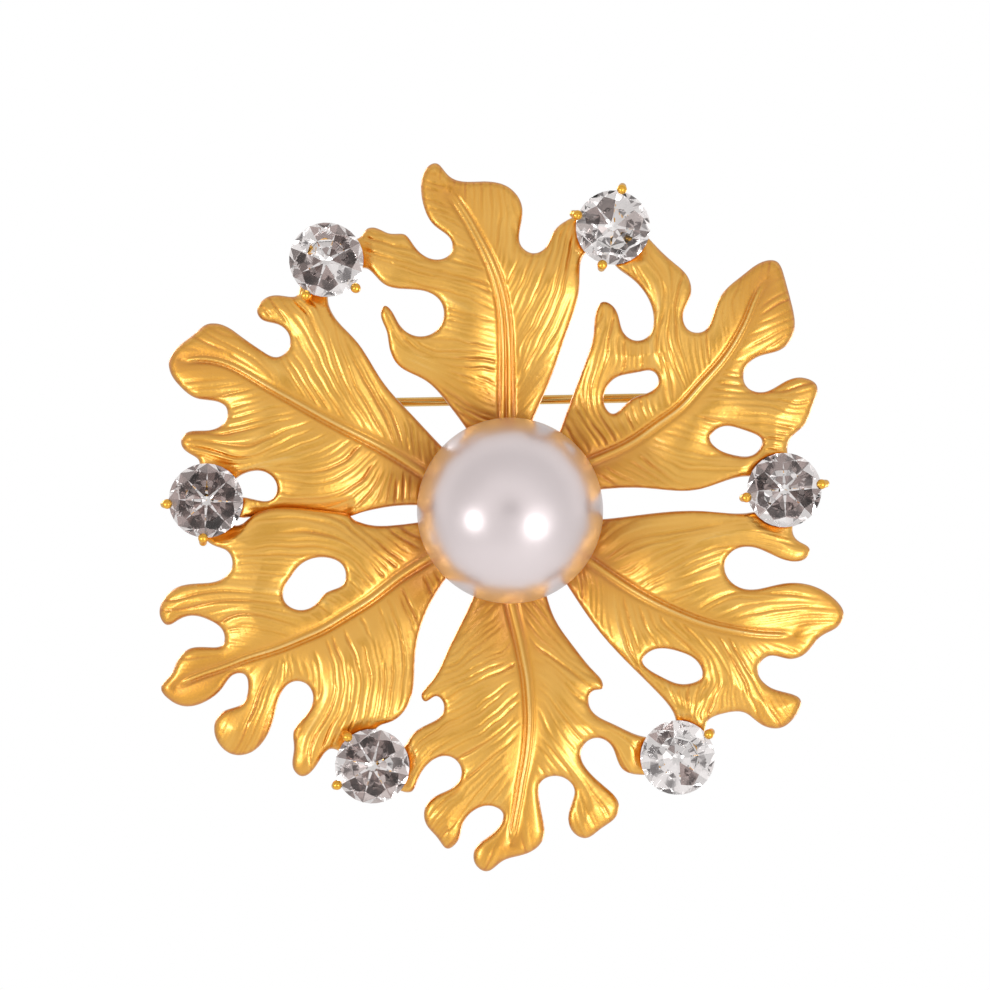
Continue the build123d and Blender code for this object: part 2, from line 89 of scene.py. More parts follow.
STONE_R = 3.0
STONE_CULET = 2.42
STONE_CULET_RIM = 2.56
STONE_GIRDLE_BACK = 4.75
STONE_GIRDLE_FRONT = 4.9
STONE_TABLE = 5.75
STONE_PIVOT = 4.8
CUP_DEPTH = 2.0
# A claw that reaches less far than this stays under its stone
HIDDEN_CLAW_R = 3.0

# The floor's height and half its width, in metres
FLOOR_Z = -0.4
FLOOR_REACH = 4.5

# Each stone: its centre (x, z) and the angle of its first claw
STONES = {
    "top_left": ((-14.8, 20.2), -43.0),
    "top_right": ((8.3, 22.8), 80.0),
    "right": ((22.1, 1.65), 10.0),
    "bottom_right": ((13.5, -19.9), 35.0),
    "bottom_left": ((-11.1, -20.6), 30.0),
    "left": ((-24.5, 0.8), 0.0),
}

# Each leaf: its midrib from the pearl to the tip, how wide that is, how deep its veins are as a share of
# VEIN_H, how far the veins may start from the midrib on its left and right, whether the midrib is a pair
# of ridges or else on which side its deeper groove lies, and the veins that guide the others on each side
# of it, from the root to the tip
LEAVES = {
    "top": {
        "rib": [(-0.3, 7.5), (-0.35, 14), (-0.5, 16), (-0.9, 18), (-1.6, 20), (-2.6, 22), (-3.6, 23.8),
                (-4.9, 25.7)],
        "rib_w": 0.36,
        "vein": 1.1,
        "clear": (0.7, 0.7),
        "twin": True,
        "left": [
            [(-1, 9), (-7.5, 12)],
            [(-1, 11.5), (-9, 14), (-10.1, 16.3)],
            [(-1.5, 13.2), (-6, 14.3)],
            [(-1.2, 15), (-5.3, 15.8)],
            [(-1.3, 16), (-5.3, 17.6)],
            [(-1.7, 18), (-7, 19.6), (-11.5, 20.7)],
            [(-2.2, 20), (-4.8, 21)],
            [(-2.5, 21.5), (-6, 23.5)],
            [(-3.5, 24), (-7, 25.5)],
        ],
        "right": [
            [(0.3, 8), (2.5, 10.5)],
            [(0.5, 10), (4, 17), (5.3, 22.5)],
            [(0.4, 13), (3.2, 19), (4.6, 23)],
            [(0.2, 16), (2, 20.8)],
            [(-0.3, 18), (0.8, 21), (0.2, 25)],
            [(-1, 20), (-0.5, 24.5)],
            [(-2, 22), (-2, 26)],
            [(-3.3, 24), (-3.3, 26.3)],
        ],
    },
    "upper_right": {
        "rib": [(6.5, 3.9), (9.9, 5.5), (12, 7), (13.75, 8.3), (15.2, 9.9), (17, 11.9), (18.3, 13.8),
                (19.2, 15.6), (20.0, 17.5), (20.7, 18.6)],
        "rib_w": 0.3,
        "vein": 1.05,
        "clear": (0.5, 1.2),
        "shade": 1,
        "left": [
            [(7.5, 5.5), (5.5, 9), (6.3, 13), (7.3, 16.2)],
            [(9, 6), (8, 7.9), (8.9, 12)],
            [(13, 8.5), (12.3, 11), (11.8, 14), (12.5, 18), (11, 20.5)],
            [(14.5, 9.8), (13.3, 13), (13.2, 17), (13.8, 19)],
            [(15.3, 10.8), (14.9, 14)],
            [(16.5, 12), (16.4, 15), (17, 17)],
            [(17.5, 13.5), (17.3, 17), (18.2, 18.6)],
            [(18.8, 15), (19.2, 18.8)],
            [(19.7, 17), (20.2, 19.7)],
        ],
        "right": [
            [(8, 4.2), (13, 1.2)],
            [(10.5, 5), (15, 2.6), (18, 2.7)],
            [(11.5, 5.2), (16, 3.9), (19.8, 3.9)],
            [(12, 6), (16, 4.7)],
            [(13.5, 7.2), (16.2, 6.2)],
            [(14.5, 8), (18, 7.8), (22.5, 7.2)],
            [(15.5, 9), (19, 8.9), (23, 8.4)],
            [(16, 9.8), (20, 9.3), (23.5, 10)],
            [(17, 11), (18.8, 10.9)],
            [(18.2, 12.2), (22.3, 14.3)],
            [(19, 14), (22.8, 15.2)],
            [(19.8, 16), (22.3, 17.5)],
        ],
    },
    "lower_right": {
        "rib": [(6.4, -4.1), (8, -5.2), (10, -6.5), (12, -7.6), (14, -8.5), (16, -9.2), (18, -9.65),
                (20, -9.95), (22.8, -10.05)],
        "rib_w": 0.3,
        "vein": 1.05,
        "clear": (0.8, 0.7),
        "shade": 1,
        "left": [
            [(7, -3.8), (9, -2.2), (15, -0.5)],
            [(8, -4.3), (12, -2.7), (19, -1.3)],
            [(10, -5.3), (14, -3), (20, -2.1), (24, -3.2)],
            [(11.5, -6), (17, -4)],
            [(13, -7), (17.5, -5.6)],
            [(14.5, -7.8), (18, -6.3), (25, -7)],
            [(16.5, -8.6), (20, -7.6), (25.5, -7.7)],
            [(19, -9), (26, -8.6)],
        ],
        "right": [
            [(7, -6), (7.2, -9)],
            [(9, -7.5), (10.8, -12), (13.3, -16.5)],
            [(14, -10), (16, -12.5), (15, -16.5)],
            [(15, -10), (17.5, -14), (17.3, -16)],
            [(17, -10.3), (19, -13.5), (20.5, -17)],
            [(18.5, -10.5), (20, -13), (22.3, -16.5)],
            [(20, -10.3), (21.5, -11.5)],
            [(21, -10.2), (24, -11)],
        ],
    },
    "bottom": {
        "rib": [(0.13, -7.6), (0.4, -8.8), (0.74, -10.2), (1.08, -11.9), (1.34, -13.3), (1.5, -15),
                (1.57, -16.8), (1.48, -18.5), (1.26, -20.25), (1.0, -21.6), (0.74, -23.2), (0.44, -24.8),
                (0.08, -26.8)],
        "rib_w": 0.34,
        "vein": 0.85,
        "clear": (1.3, 1.4),
        "shade": -1,
        "left": [
            [(2, -7.8), (5, -11.5)],
            [(2.5, -9.5), (6, -12.6)],
            [(2.2, -11), (7, -14)],
            [(3, -13), (6, -16), (10, -18.2)],
            [(3, -15), (5.5, -18.5), (8, -22.8)],
            [(3, -17), (5.5, -21), (8, -24)],
            [(2.8, -19), (5.3, -22.8), (6, -25.5)],
            [(1.6, -22), (2.4, -26.5)],
        ],
        "right": [
            [(-0.5, -9), (-4.3, -12.5)],
            [(0, -12), (-6.5, -14.8)],
            [(0.3, -14), (-5, -17.5), (-7.5, -19.3)],
            [(0.7, -18), (-3.5, -21.5), (-6, -24)],
            [(0.8, -20), (-3, -23.6), (-5, -26.5)],
            [(0.6, -22), (-0.9, -24)],
            [(0.3, -24.5), (-1.5, -27), (-2.2, -28.6)],
        ],
    },
    "lower_left": {
        "rib": [(-7.3, -4.3), (-8.7, -5.2), (-10, -6.2), (-11.3, -7.2), (-12.7, -8.1), (-14, -8.9),
                (-15, -9.5), (-16.3, -10.1), (-17.7, -10.7), (-19, -11.2), (-21.5, -12), (-23, -12.6),
                (-24.5, -13.1), (-26, -13.7), (-27, -14.2)],
        "rib_w": 0.3,
        "vein": 1.05,
        "clear": (4.5, 0.8),
        "shade": 1,
        "left": [
            [(-8.5, -5.8), (-7.2, -8.5)],
            [(-10, -6.6), (-8.2, -12), (-8.6, -15.5)],
            [(-12, -8), (-10.2, -13), (-10.8, -17)],
            [(-14, -9.3), (-12.5, -14), (-13, -17)],
            [(-15.5, -10.3), (-15, -15), (-17, -19), (-17, -21)],
            [(-17.5, -11), (-16.8, -13.7)],
            [(-18.5, -11.5), (-19.5, -14.5), (-21, -18.5)],
            [(-20.5, -12), (-21.5, -13)],
            [(-22, -12.5), (-24.5, -14.8)],
            [(-24, -13.2), (-27.5, -14.8)],
        ],
        "right": [
            [(-9.5, -5.2), (-12, -3), (-18, -1), (-22, -1.8)],
            [(-11, -6), (-13.3, -4), (-17, -3), (-22.5, -3.3)],
            [(-15, -8.8), (-16, -8.1), (-22, -7), (-27.5, -7.5)],
            [(-17, -9.8), (-22, -8.6), (-23.3, -9.3)],
            [(-19, -10.8), (-23, -10.3)],
            [(-21, -11.5), (-25.5, -11.6)],
            [(-23, -12.2), (-27, -12.5)],
        ],
    },
    "upper_left": {
        "rib": [(-7.3, 3.2), (-10, 4.9), (-12.5, 6.2), (-15, 7.5), (-17.5, 8.9), (-20, 10.3), (-21.7, 11.3),
                (-23.3, 12), (-25, 12.25), (-26.6, 12.1)],
        "rib_w": 0.3,
        "vein": 1.15,
        "clear": (1.0, 0.6),
        "shade": 1,
        "left": [
            [(-9, 3.8), (-9, 1)],
            [(-10.5, 4.6), (-13, 2), (-19, 1)],
            [(-12, 5.5), (-15, 3.5), (-20, 3.4)],
            [(-14, 6.5), (-18, 4.8), (-22, 3.8), (-25, 4.5)],
            [(-16, 7.5), (-20, 6.2), (-26, 5.7)],
            [(-18, 8.8), (-22.5, 7.8)],
            [(-20, 9.8), (-24, 9.1)],
            [(-22, 11), (-26.5, 10.5)],
        ],
        "right": [
            [(-7.5, 4.5), (-8, 7), (-10, 10)],
            [(-9, 5.5), (-10, 8), (-13, 13.5)],
            [(-11, 7), (-13, 11), (-15, 16.5)],
            [(-13, 8), (-15.5, 12.5), (-18, 16.8)],
            [(-15, 9), (-17.7, 13)],
            [(-17, 10), (-18.6, 12.3)],
            [(-19, 11), (-22, 13.8), (-24.5, 14.8)],
            [(-21, 12), (-25, 14.3)],
            [(-23, 12.6), (-26.5, 13)],
        ],
    },
}


# ---------------------------------------------------------------- small tools
def spline_through(points):
    """A natural cubic spline through (x, y) points, as a function of x."""
    x, y = np.array(points, float).T
    h = np.diff(x)
    n = len(x)
    system = np.eye(n)
    right = np.zeros(n)
    for i in range(1, n - 1):
        system[i, i - 1:i + 2] = h[i - 1], 2 * (h[i - 1] + h[i]), h[i]
        right[i] = 6 * ((y[i + 1] - y[i]) / h[i] - (y[i] - y[i - 1]) / h[i - 1])
    bend = np.linalg.solve(system, right)

    def at(t):
        t = np.clip(t, x[0], x[-1])
        i = np.clip(np.searchsorted(x, t) - 1, 0, n - 2)
        a = (x[i + 1] - t) / h[i]
        b = (t - x[i]) / h[i]
        curve = (a ** 3 - a) * bend[i] + (b ** 3 - b) * bend[i + 1]
        return a * y[i] + b * y[i + 1] + curve * h[i] ** 2 / 6

    return at


def smooth_line(points, step):
    """Points every step along a smooth curve through the given ones."""
    points = np.array(points, float)
    run = np.concatenate([[0], np.cumsum(np.linalg.norm(np.diff(points, axis=0), axis=1))])
    t = np.linspace(0, run[-1], max(3, int(run[-1] / step) + 1))
    if len(points) == 2:
        return np.stack([np.interp(t, run, points[:, k]) for k in range(points.shape[1])], 1)
    return np.stack([spline_through(list(zip(run, points[:, k])))(t) for k in range(points.shape[1])], 1)


def to_line(points, line):
    """For each point: its distance to a line, how far along the nearest place is, and which side it is on."""
    distance = np.full(len(points), 1e9)
    along = np.zeros(len(points))
    side = np.zeros(len(points))
    run = 0.0
    for a, b in zip(line[:-1], line[1:]):
        ab = b - a
        length = np.linalg.norm(ab)
        t = np.clip((points - a) @ ab / length ** 2, 0, 1)
        away = points - a - t[:, None] * ab
        gap = np.linalg.norm(away, axis=1)
        near = gap < distance
        distance[near] = gap[near]
        along[near] = run + t[near] * length
        side[near] = np.sign(ab[0] * away[near, 1] - ab[1] * away[near, 0])
        run += length
    return distance, along / run, side


def plate_kernel(d):
    """The bending kernel of a thin plate, at distance d."""
    return np.where(d > 1e-9, d ** 2 * np.log(np.maximum(d, 1e-9)), 0.0)


def smooth_field(points, values, slack=0.3):
    """A smooth field over the plane that takes the given values near the given points."""
    n = len(points)
    system = np.zeros((n + 3, n + 3))
    system[:n, :n] = plate_kernel(np.linalg.norm(points[:, None] - points[None], axis=2)) + slack * np.eye(n)
    system[:n, n] = 1
    system[:n, n + 1:] = points
    system[n:, :n] = system[:n, n:].T
    weights = np.linalg.solve(system, np.concatenate([values, np.zeros(3)]))

    def at(p):
        out = np.empty(len(p))
        for start in range(0, len(p), 8000):
            part = p[start:start + 8000]
            kernel = plate_kernel(np.linalg.norm(part[:, None] - points[None], axis=2))
            out[start:start + 8000] = kernel @ weights[:n] + weights[n] + part @ weights[n + 1:]
        return out

    return at


def ripple(points, size, seed):
    """Smooth noise between about -1 and 1, with waves about as long as size."""
    rng = np.random.RandomState(seed)
    total = np.zeros(len(points))
    for _ in range(7):
        angle = rng.uniform(0, 2 * math.pi)
        wave = 2 * math.pi / (size * rng.uniform(0.7, 1.6))
        way = np.array([math.cos(angle), math.sin(angle)])
        total += np.sin(points @ (wave * way) + rng.uniform(0, 2 * math.pi))
    return total / 4


def step_up(x, low, high):
    """0 below low, 1 above high, and smooth between."""
    t = np.clip((x - low) / (high - low), 0, 1)
    return t * t * (3 - 2 * t)


def softer_min(a, b, width):
    """The lower of two heights, with the corner between them rounded off downwards."""
    h = np.clip(0.5 + 0.5 * (b - a) / width, 0, 1)
    return b * (1 - h) + a * h - width * h * (1 - h)


def new_piece(name, points, faces, node, material, smooth=True):
    """A piece from points (x, depth, z) in millimetres, riding on the brooch and standing for a CAD node."""
    mesh = bpy.data.meshes.new(name)
    placed = [(x * MM, -depth * MM, z * MM) for x, depth, z in points]
    mesh.from_pydata(placed, [], faces)
    mesh.validate()
    mesh.update()
    if smooth:
        mesh.polygons.foreach_set("use_smooth", [True] * len(mesh.polygons))
    tidy = bmesh.new()
    tidy.from_mesh(mesh)
    bmesh.ops.recalc_face_normals(tidy, faces=tidy.faces)
    tidy.to_mesh(mesh)
    tidy.free()
    piece = bpy.data.objects.new(name, mesh)
    bpy.context.scene.collection.objects.link(piece)
    mesh.materials.append(material)
    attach(piece, "brooch_front")
    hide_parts(node)
    return piece


# ---------------------------------------------------------------- materials
def node_of(tree, kind, settings=(), **values):
    """A new shader node with its plain settings and its sockets' values."""
    node = tree.nodes.new(kind)
    for name, value in dict(settings).items():
        setattr(node, name, value)
    for name, value in values.items():
        node.inputs[name.replace("_", " ")].default_value = value
    return node


def ramp_of(tree, source, stops):
    """A colour ramp that reads source, with (place, colour) stops."""
    ramp = tree.nodes.new("ShaderNodeValToRGB")
    points = ramp.color_ramp.elements
    while len(points) < len(stops):
        points.new(0.5)
    for point, (place, colour) in zip(points, stops):
        point.position = place
        point.color = (*colour, 1.0)
    tree.links.new(source, ramp.inputs["Fac"])
    return ramp


def new_material(name):
    """An empty node material: its tree, its Principled shader and its object coordinates."""
    material = bpy.data.materials.new(name)
    material.use_nodes = True
    tree = material.node_tree
    shader = tree.nodes["Principled BSDF"]
    where = tree.nodes.new("ShaderNodeTexCoord").outputs["Object"]
    return material, tree, shader, where


def noise_of(tree, where, scale, detail=3.0, roughness=0.55):
    """Fine noise over the object's own coordinates, 0 to 1."""
    noise = node_of(tree, "ShaderNodeTexNoise", Scale=scale, Detail=detail, Roughness=roughness)
    tree.links.new(where, noise.inputs["Vector"])
    return noise.outputs["Fac"]


def spread_of(tree, source, low, high):
    """Maps a value from 0-1 to low-high."""
    spread = node_of(tree, "ShaderNodeMapRange", To_Min=low, To_Max=high)
    tree.links.new(source, spread.inputs["Value"])
    return spread.outputs["Result"]


def bump_of(tree, shader, height, strength, distance):
    """Bumps the shader's surface by a height, distance metres at most."""
    bump = node_of(tree, "ShaderNodeBump", Strength=strength, Distance=distance)
    tree.links.new(height, bump.inputs["Height"])
    tree.links.new(bump.outputs["Normal"], shader.inputs["Normal"])


def gold_material(name, stops, rough_low, rough_high, coat=0.0, grain=0.000015, carved=True):
    """Satin plated gold with random patches. Where carved, it also adds the painted shade and painted
    highlight held in a mesh attribute: low values are painted shade, high ones painted highlight.
    """
    material, tree, shader, where = new_material(name)
    patches = noise_of(tree, where, 420.0, 6.0, 0.7)
    fine = noise_of(tree, where, 5000.0, 3.0)
    if carved:
        # The painted shade and painted highlight of the leaves
        painted_shade_and_highlight = node_of(tree, "ShaderNodeAttribute", {"attribute_name": "painted_shade_and_highlight"}).outputs["Fac"]
        mix = node_of(tree, "ShaderNodeMath", {"operation": "MULTIPLY_ADD"})
        tree.links.new(patches, mix.inputs[0])
        mix.inputs[1].default_value = 0.14
        tree.links.new(painted_shade_and_highlight, mix.inputs[2])
        tone = mix.outputs[0]
    else:
        tone = spread_of(tree, patches, 0.35, 0.85)
    ramp = ramp_of(tree, tone, stops)
    tree.links.new(ramp.outputs["Color"], shader.inputs["Base Color"])
    tree.links.new(spread_of(tree, patches, rough_low, rough_high), shader.inputs["Roughness"])
    shader.inputs["Metallic"].default_value = 1.0
    shader.inputs["Coat Weight"].default_value = coat
    shader.inputs["Coat Roughness"].default_value = 0.28
    shader.inputs["Coat IOR"].default_value = 1.75
    bump_of(tree, shader, fine, 0.5, grain)
    return material


# The low stops colour the painted shade, the top stop the painted highlight
leaf_gold = gold_material(
    "leaf_gold",
    [(0.08, (0.62, 0.21, 0.002)), (0.4, (0.81, 0.375, 0.014)),
     (0.7, (0.905, 0.495, 0.065)), (0.95, (0.965, 0.65, 0.24))],
    0.33, 0.43, coat=0.95, grain=0.00003,
)
setting_gold = gold_material(
    "setting_gold", [(0.2, (0.80, 0.36, 0.012)), (0.8, (0.95, 0.52, 0.06))],
    0.24, 0.34, coat=0.4, carved=False,
)
finding_gold = gold_material(
    "finding_gold", [(0.2, (0.78, 0.38, 0.03)), (0.8, (0.93, 0.52, 0.08))],
    0.24, 0.36, coat=0.3, carved=False,
)
wire_gold = gold_material(
    "wire_gold", [(0.2, (0.62, 0.36, 0.08)), (0.8, (0.85, 0.56, 0.2))], 0.18, 0.3, carved=False
)


def pearl_material():
    """Pearl essence: a soft metallic body, more so towards its rim, under a clearer coat."""
    material, tree, shader, where = new_material("pearl_lustre")
    clouds = noise_of(tree, where, 90.0, 3.0)
    ramp = ramp_of(tree, clouds, [(0.3, (0.75, 0.67, 0.68)), (0.7, (0.79, 0.71, 0.725))])
    tree.links.new(ramp.outputs["Color"], shader.inputs["Base Color"])
    facing = node_of(tree, "ShaderNodeLayerWeight", Blend=0.5).outputs["Facing"]
    gloss = spread_of(tree, facing, 0.55, 0.85)
    gloss.node.inputs["From Min"].default_value = 0.3
    gloss.node.inputs["From Max"].default_value = 0.5
    tree.links.new(gloss, shader.inputs["Metallic"])
    tree.links.new(spread_of(tree, clouds, 0.29, 0.34), shader.inputs["Roughness"])
    shader.inputs["Coat Weight"].default_value = 0.5
    shader.inputs["Coat Roughness"].default_value = 0.16
    return material


pearl_lustre = pearl_material()


def foil_material():
    """Mirror foil behind the stones. Each facet's tone is in the "facet" attribute, and its dark tones are
    painted reflection.
    """
    material, tree, shader, where = new_material("crystal_foil")
    facet = node_of(tree, "ShaderNodeAttribute", {"attribute_name": "facet"}).outputs["Fac"]
    smudge = node_of(tree, "ShaderNodeMath", {"operation": "MULTIPLY_ADD"})
    tree.links.new(noise_of(tree, where, 900.0, 2.0), smudge.inputs[0])
    smudge.inputs[1].default_value = 0.12
    tree.links.new(facet, smudge.inputs[2])
    # The dark and pinkish stops are painted reflection of dark surroundings, and the pale ones are the plain
    # mirror
    ramp = ramp_of(
        tree, smudge.outputs[0],
        [(0.1, (0.17, 0.165, 0.165)), (0.35, (0.55, 0.45, 0.43)),
         (0.6, (0.92, 0.89, 0.88)), (0.95, (1.0, 0.99, 0.99))],
    )
    tree.links.new(ramp.outputs["Color"], shader.inputs["Base Color"])
    tree.links.new(spread_of(tree, noise_of(tree, where, 500.0, 2.0), 0.02, 0.06), shader.inputs["Roughness"])
    shader.inputs["Metallic"].default_value = 1.0
    return material


def glass_material():
    """Clear lead glass with the faintest unevenness in its tint and polish."""
    material, tree, shader, where = new_material("crystal_glass")
    patches = noise_of(tree, where, 900.0, 2.0)
    ramp = ramp_of(tree, patches, [(0.3, (0.97, 0.95, 0.95)), (0.7, (1.0, 0.99, 0.99))])
    tree.links.new(ramp.outputs["Color"], shader.inputs["Base Color"])
    tree.links.new(spread_of(tree, patches, 0.0, 0.03), shader.inputs["Roughness"])
    shader.inputs["Transmission Weight"].default_value = 1.0
    shader.inputs["IOR"].default_value = 1.55
    return material


crystal_foil = foil_material()
crystal_glass = glass_material()


# ---------------------------------------------------------------- camera, light and floor
camera_data = bpy.data.cameras.new("camera")
camera_data.lens = CAMERA_LENS
camera_data.sensor_width = 36.0
camera_data.clip_start = 0.01
camera_data.clip_end = 20.0
camera = bpy.data.objects.new("camera", camera_data)
camera.location = (CAMERA_AIM[0] * MM, -CAMERA_DISTANCE * MM, CAMERA_AIM[1] * MM)
camera.rotation_euler = (math.radians(90.0), 0.0, 0.0)
bpy.context.scene.collection.objects.link(camera)
bpy.context.scene.camera = camera
bpy.context.scene.view_settings.view_transform = "Standard"


def make_world():
    """A pale room, darkest in a small spot straight in front of the brooch. The camera sees plain white."""
    world = bpy.data.worlds.new("room")
    bpy.context.scene.world = world
    world.use_nodes = True
    tree = world.node_tree
    tree.nodes.clear()
    where = tree.nodes.new("ShaderNodeTexCoord").outputs["Generated"]
    split = tree.nodes.new("ShaderNodeSeparateXYZ")
    tree.links.new(where, split.inputs[0])
    forward = spread_of(tree, split.outputs["Y"], 0.0, 1.0)
    forward.node.inputs["From Min"].default_value = -1.0
    ramp = ramp_of(
        tree, forward,
        [(0.0, (0.14, 0.13, 0.13)), (0.006, (0.16, 0.15, 0.15)), (0.013, (0.72, 0.70, 0.69)),
         (0.08, (0.84, 0.83, 0.82)), (0.2, (0.58, 0.57, 0.56)), (0.36, (0.54, 0.53, 0.52)),
         (0.52, (0.8, 0.79, 0.78)), (0.7, (0.72, 0.71, 0.7)), (0.9, (0.5, 0.5, 0.5)),
         (1.0, (0.66, 0.66, 0.66))],
    )
    room = node_of(tree, "ShaderNodeBackground", Strength=1.12)
    tree.links.new(ramp.outputs["Color"], room.inputs["Color"])
    white = node_of(tree, "ShaderNodeBackground", Strength=1.0, Color=(1.0, 1.0, 1.0, 1.0))
    seen = tree.nodes.new("ShaderNodeLightPath").outputs["Is Camera Ray"]
    mix = tree.nodes.new("ShaderNodeMixShader")
    tree.links.new(seen, mix.inputs[0])
    tree.links.new(room.outputs[0], mix.inputs[1])
    tree.links.new(white.outputs[0], mix.inputs[2])
    tree.links.new(mix.outputs[0], tree.nodes.new("ShaderNodeOutputWorld").inputs["Surface"])


def softbox(name, direction, distance, width, power):
    """A round area light in that direction from the brooch, facing it."""
    light = bpy.data.lights.new(name, "AREA")
    light.shape = "DISK"
    light.size = width
    light.energy = power
    lamp = bpy.data.objects.new(name, light)
    away = Vector(direction).normalized()
    lamp.location = away * distance
    lamp.rotation_euler = away.to_track_quat("Z", "Y").to_euler()
    bpy.context.scene.collection.objects.link(lamp)


make_world()
softbox("softbox_left", (-0.69, -0.69, -0.19), 0.6, 0.14, 0.6)
softbox("softbox_right", (0.51, -0.80, -0.34), 0.6, 0.17, 0.7)
softbox("softbox_right_glow", (0.6, -0.78, -0.18), 0.62, 0.4, 0.2)
softbox("softbox_back_left", (-0.62, 0.70, 0.35), 0.6, 0.25, 0.9)
softbox("softbox_back_right", (0.70, 0.66, -0.25), 0.6, 0.25, 0.7)

floor_material, floor_tree, floor_shader, floor_where = new_material("pale_floor")
floor_noise = noise_of(floor_tree, floor_where, 30.0)
floor_ramp = ramp_of(floor_tree, floor_noise, [(0.3, (0.86, 0.86, 0.86)), (0.7, (0.9, 0.9, 0.9))])
floor_tree.links.new(floor_ramp.outputs["Color"], floor_shader.inputs["Base Color"])
floor_shader.inputs["Roughness"].default_value = 0.9
floor_mesh = bpy.data.meshes.new("floor")
floor_corners = [(x * FLOOR_REACH, y * FLOOR_REACH, FLOOR_Z) for x, y in ((-1, -1), (1, -1), (1, 1), (-1, 1))]
floor_mesh.from_pydata(floor_corners, [], [(0, 1, 2, 3)])
floor_mesh.materials.append(floor_material)
floor = bpy.data.objects.new("floor", floor_mesh)
bpy.context.scene.collection.objects.link(floor)


# ---------------------------------------------------------------- leaves
front_curve = spline_through(LEAF_FRONT)
back_curve = spline_through(LEAF_BACK)


def fine_mesh(node):
    """A CAD node's shape in millimetres as (x, depth, z) points, remeshed evenly, with its faces."""
    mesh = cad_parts[node].data.copy()
    for vertex in mesh.vertices:
        vertex.co = vertex.co / MM
    rough = bpy.data.objects.new("rough_" + node, mesh)
    bpy.context.scene.collection.objects.link(rough)
    remesh = rough.modifiers.new("even", "REMESH")
    remesh.mode = "VOXEL"
    remesh.voxel_size = LEAF_VOXEL
    made = bpy.data.meshes.new_from_object(rough.evaluated_get(bpy.context.evaluated_depsgraph_get()))
    count = len(made.vertices)
    points = np.empty(count * 3)
    made.vertices.foreach_get("co", points)
    normals = np.empty(count * 3)
    made.vertices.foreach_get("normal", normals)
    faces = [tuple(face.vertices) for face in made.polygons]
    bpy.data.objects.remove(rough)
    bpy.data.meshes.remove(made)
    points = points.reshape(-1, 3) * [1, -1, 1]
    normals = normals.reshape(-1, 3) * [1, -1, 1]
    return points, normals, faces


def vein_field(guides):
    """A field whose level lines follow the guides, in millimetres from the first one."""
    lines = [smooth_line(guide, 0.8) for guide in guides]
    values = [0.0]
    for last, line in zip(lines[:-1], lines[1:]):
        gaps = np.linalg.norm(last[:, None] - line[None], axis=2)
        values.append(values[-1] + 0.5 * (gaps.min(0).mean() + gaps.min(1).mean()))
    spots = np.concatenate(lines)
    levels = np.concatenate([np.full(len(line), value) for line, value in zip(lines, values)])
    return smooth_field(spots, levels)


def vein_grooves(plane, guides, rib_gap, rib_clear, seed):
    """How deep the vein grooves are cut, from 0 to about 1, and how far the skin swells between them."""
    rng = np.random.RandomState(seed)
    field_at = vein_field(guides)
    field = field_at(plane)
    nudge = 0.1
    slope = np.hypot(field_at(plane + [nudge, 0]) - field, field_at(plane + [0, nudge]) - field) / nudge
    slope = np.clip(slope, 0.3, 4.0)
    field = field + 0.25 * ripple(plane, 7.0, seed) + 0.06 * ripple(plane, 1.9, seed + 1)
    cut = np.zeros(len(plane))
    swell = np.zeros(len(plane))
    for pitch, width, share, missing in VEIN_LAYERS:
        count = 400
        strength = rng.uniform(0.45, 1.0, count) * (rng.uniform(0, 1, count) > missing)
        start = rng.uniform(0.0, rib_clear, count)
        end = rng.uniform(6.5, 20.0, count)
        phase = rng.uniform(0, 2 * math.pi, count)
        offset = rng.uniform(-0.22, 0.22, count)
        number = np.round(field / pitch).astype(int)
        line = number % count
        away = (field / pitch - number - offset[line]) * pitch / slope
        along = step_up(rib_gap, start[line], start[line] + 1.1)
        along *= 1 - step_up(rib_gap, end[line], end[line] + 3.0)
        along *= 0.7 + 0.3 * np.sin(rib_gap * 0.9 + phase[line])
        crowded = step_up(pitch / slope, 0.3, 0.5)
        cut = np.maximum(cut, share * strength[line] * along * crowded * np.exp(-(away / width) ** 2))
        swell += share * (1 - np.clip(np.abs(2 * away * slope / pitch), 0, 1) ** 2) * along
    return cut, swell


def relax(points, faces, amount, times):
    """Moves each point towards the middle of its neighbours by its own amount, a few times over."""
    quads = np.array(faces)
    starts = np.concatenate([quads[:, i] for i in range(quads.shape[1])])
    ends = np.concatenate([np.roll(quads, -1, axis=1)[:, i] for i in range(quads.shape[1])])
    starts, ends = np.concatenate([starts, ends]), np.concatenate([ends, starts])
    count = np.bincount(starts, minlength=len(points))
    for _ in range(times):
        middle = np.stack([np.bincount(starts, points[ends, axis], len(points)) for axis in range(3)], 1)
        points = points + amount[:, None] * (middle / count[:, None] - points)
    return points


